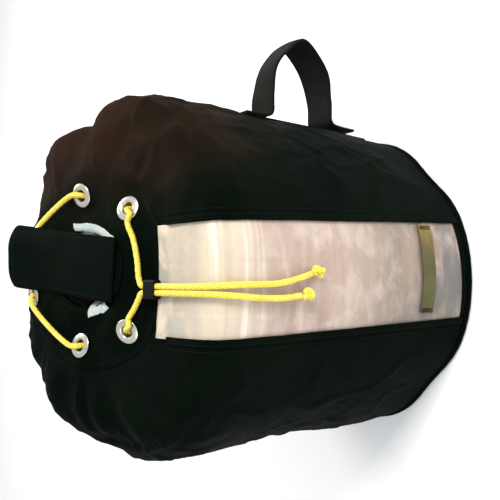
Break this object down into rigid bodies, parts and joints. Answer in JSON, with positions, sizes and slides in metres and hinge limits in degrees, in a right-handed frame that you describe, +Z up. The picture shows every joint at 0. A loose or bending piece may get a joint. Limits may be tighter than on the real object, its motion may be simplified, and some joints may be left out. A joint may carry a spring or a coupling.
{
  "type": "rope storage bag",
  "caption": "Round drawstring rope bag of padded black fabric with a clear window down its front, a gathered mouth with eyelets and a yellow cord, a mouth flap and a side carry handle.",
  "frame": {"origin": "the middle of the base panel's underside, where the bag stands", "axes": "+Z is up through the mouth, -Y is the window side, +X is the carry handle's side"},
  "size_m": [0.3955, 0.3209, 0.3549],
  "materials": {
    "black_fabric": "coated woven pack cloth, slightly creased",
    "black_webbing": "woven nylon webbing",
    "pale_liner": "thin pale lining cloth",
    "clear_vinyl": "flexible clear vinyl sheet, glossy and a little cloudy",
    "olive_webbing": "woven tape",
    "dark_thread": "close stitching",
    "bright_metal": "plated, satin",
    "yellow_cord": "braided cord",
    "black_plastic": "moulded, satin"
  },
  "bodies": {
    "bag": {"body_shell": "black_fabric", "mouth_hem": "black_fabric", "base_panel": "black_fabric", "base_piping": "black_webbing", "inner_liner": "pale_liner", "window_panel": "clear_vinyl", "window_top_edge": "clear_vinyl", "window_binding_left": "black_fabric", "window_binding_right": "black_fabric", "id_strip": "olive_webbing", "id_tack_left": "dark_thread", "id_tack_right": "dark_thread", "eyelet_1": "bright_metal", "eyelet_2": "bright_metal", "eyelet_3": "bright_metal", "eyelet_4": "bright_metal", "eyelet_5": "bright_metal", "eyelet_6": "bright_metal", "eyelet_washer_1": "bright_metal", "eyelet_washer_2": "bright_metal", "eyelet_washer_3": "bright_metal", "eyelet_washer_4": "bright_metal", "eyelet_washer_5": "bright_metal", "eyelet_washer_6": "bright_metal", "drawcord": "yellow_cord", "cord_tail_left": "yellow_cord", "cord_tail_right": "yellow_cord", "cord_knot_left": "yellow_cord", "cord_knot_right": "yellow_cord", "handle_foot_lower": "black_webbing", "handle_foot_upper": "black_webbing", "handle_patch": "black_fabric", "flap_tab": "black_webbing"},
    "handle": {"handle_webbing": "black_webbing"},
    "flap": {"mouth_flap": "black_webbing"},
    "keeper": {"cord_keeper": "black_plastic"}
  },
  "joints": [
    {"name": "handle_swing", "type": "hinge", "parent": "bag", "child": "handle", "pos_m": [0.177, 0, 0.0985], "axis": [0, 0, 1], "range_deg": [-50, 50]},
    {"name": "flap_lift", "type": "hinge", "parent": "bag", "child": "flap", "pos_m": [0.007, -0.04, 0.3055], "axis": [0.9935, -0.114, 0], "range_deg": [0, 115]},
    {"name": "keeper_slide", "type": "slide", "parent": "bag", "child": "keeper", "axis": [0, -0.982, -0.1891], "range_m": [0, 0.038]}
  ]
}
